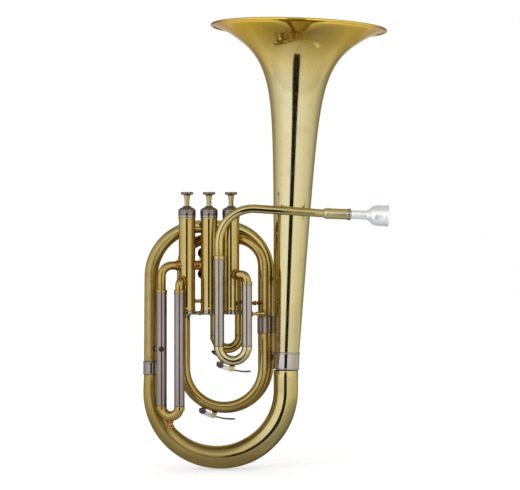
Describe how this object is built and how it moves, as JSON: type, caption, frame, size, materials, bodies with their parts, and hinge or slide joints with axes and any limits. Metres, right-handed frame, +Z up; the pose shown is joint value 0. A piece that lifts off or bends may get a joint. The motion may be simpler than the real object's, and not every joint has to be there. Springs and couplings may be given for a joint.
{
  "type": "euphonium",
  "caption": "Upright valved low brass instrument with an upward bell, piston valves, tuning slides, spring drain keys and a removable mouthpiece.",
  "frame": {"origin": "centre of the bounding box at its lowest level, under the bottom bow", "axes": "+Z up along the instrument towards the bell, +X towards the mouthpiece, +Y away from the player's side; the bell leans 2.15 degrees towards +X"},
  "size_m": [0.3269, 0.2366, 0.5959],
  "materials": {
    "brass_lacquer": "polished clear lacquer over yellow brass",
    "nickel_silver": "polished nickel silver",
    "silver_plate": "polished silver plate",
    "spring_steel": "drawn wire"
  },
  "bodies": {
    "horn": {"bell": "brass_lacquer", "bell_brace_lower": "brass_lacquer", "bell_brace_upper": "brass_lacquer", "bell_ferrule": "nickel_silver", "bottom_bow": "brass_lacquer", "branch_brace": "brass_lacquer", "branch_ferrule": "nickel_silver", "crossover_bow": "brass_lacquer", "first_elbow_left": "brass_lacquer", "first_elbow_right": "brass_lacquer", "first_sleeve_left": "brass_lacquer", "first_sleeve_right": "brass_lacquer", "front_ferrule": "nickel_silver", "inner_bow_front": "brass_lacquer", "inner_bow_rear": "brass_lacquer", "inner_brace": "brass_lacquer", "leadpipe": "brass_lacquer", "leadpipe_brace": "nickel_silver", "main_sleeve_left": "nickel_silver", "main_sleeve_right": "nickel_silver", "main_slide_elbow": "brass_lacquer", "outlet_elbow": "brass_lacquer", "rear_ferrule": "nickel_silver", "receiver": "brass_lacquer", "second_sleeve_lower": "nickel_silver", "second_sleeve_upper": "nickel_silver", "sleeve_bell_brace": "brass_lacquer", "sleeve_tube_brace": "brass_lacquer", "third_elbow_lower": "brass_lacquer", "third_elbow_upper": "brass_lacquer", "third_sleeve_left": "nickel_silver", "third_sleeve_right": "nickel_silver", "top_bow": "brass_lacquer", "valve_1_bottom_cap": "nickel_silver", "valve_1_casing": "brass_lacquer", "valve_1_spring": "spring_steel", "valve_1_top_cap": "nickel_silver", "valve_2_bottom_cap": "nickel_silver", "valve_2_casing": "brass_lacquer", "valve_2_spring": "spring_steel", "valve_2_top_cap": "nickel_silver", "valve_3_bottom_cap": "nickel_silver", "valve_3_casing": "brass_lacquer", "valve_3_spring": "spring_steel", "valve_3_top_cap": "nickel_silver", "water_key_2_saddle": "brass_lacquer"},
    "piston_1": {"valve_1_piston": "nickel_silver", "valve_1_button": "nickel_silver"},
    "piston_2": {"valve_2_piston": "nickel_silver", "valve_2_button": "nickel_silver"},
    "piston_3": {"valve_3_piston": "nickel_silver", "valve_3_button": "nickel_silver"},
    "main_slide": {"main_slide_crook": "brass_lacquer", "water_key_1_saddle": "brass_lacquer"},
    "first_slide": {"first_slide_crook": "brass_lacquer"},
    "second_slide": {"second_slide_crook": "brass_lacquer"},
    "third_slide": {"third_slide_crook": "brass_lacquer"},
    "drain_key_1": {"water_key_1_lever": "brass_lacquer"},
    "drain_key_2": {"water_key_2_lever": "brass_lacquer"},
    "mouthpiece_body": {"mouthpiece": "silver_plate"}
  },
  "joints": [
    {"name": "valve_1_press", "type": "slide", "parent": "horn", "child": "piston_1", "axis": [0, 0, -1], "range_m": [0, 0.014], "stiffness_N_per_m": 160, "springref_m": -0.03, "deforming": ["valve_1_spring"]},
    {"name": "valve_2_press", "type": "slide", "parent": "horn", "child": "piston_2", "axis": [0, 0, -1], "range_m": [0, 0.014], "stiffness_N_per_m": 160, "springref_m": -0.03, "deforming": ["valve_2_spring"]},
    {"name": "valve_3_press", "type": "slide", "parent": "horn", "child": "piston_3", "axis": [0, 0, -1], "range_m": [0, 0.014], "stiffness_N_per_m": 160, "springref_m": -0.03, "deforming": ["valve_3_spring"]},
    {"name": "main_tuning_slide", "type": "slide", "parent": "horn", "child": "main_slide", "axis": [0, 0, -1], "range_m": [0, 0.05]},
    {"name": "first_valve_slide", "type": "slide", "parent": "horn", "child": "first_slide", "axis": [0, 0, -1], "range_m": [0, 0.035]},
    {"name": "second_valve_slide", "type": "slide", "parent": "horn", "child": "second_slide", "axis": [0, 1, 0], "range_m": [0, 0.02]},
    {"name": "third_valve_slide", "type": "slide", "parent": "horn", "child": "third_slide", "axis": [0, 0, -1], "range_m": [0, 0.06]},
    {"name": "mouthpiece_draw", "type": "slide", "parent": "horn", "child": "mouthpiece_body", "axis": [0.9991, 0, -0.0419], "range_m": [0, 0.024]},
    {"name": "drain_key_1_lift", "type": "hinge", "parent": "main_slide", "child": "drain_key_1", "pos_m": [-0.04376, -0.034, 0.13621], "axis": [0, -1, 0], "range_deg": [0, 14], "stiffness_Nm_per_rad": 0.02, "springref_deg": -28.65},
    {"name": "drain_key_2_lift", "type": "hinge", "parent": "horn", "child": "drain_key_2", "pos_m": [-0.06906, 0.019, 0.06961], "axis": [0, -1, 0], "range_deg": [0, 12], "stiffness_Nm_per_rad": 0.02, "springref_deg": -28.65}
  ]
}
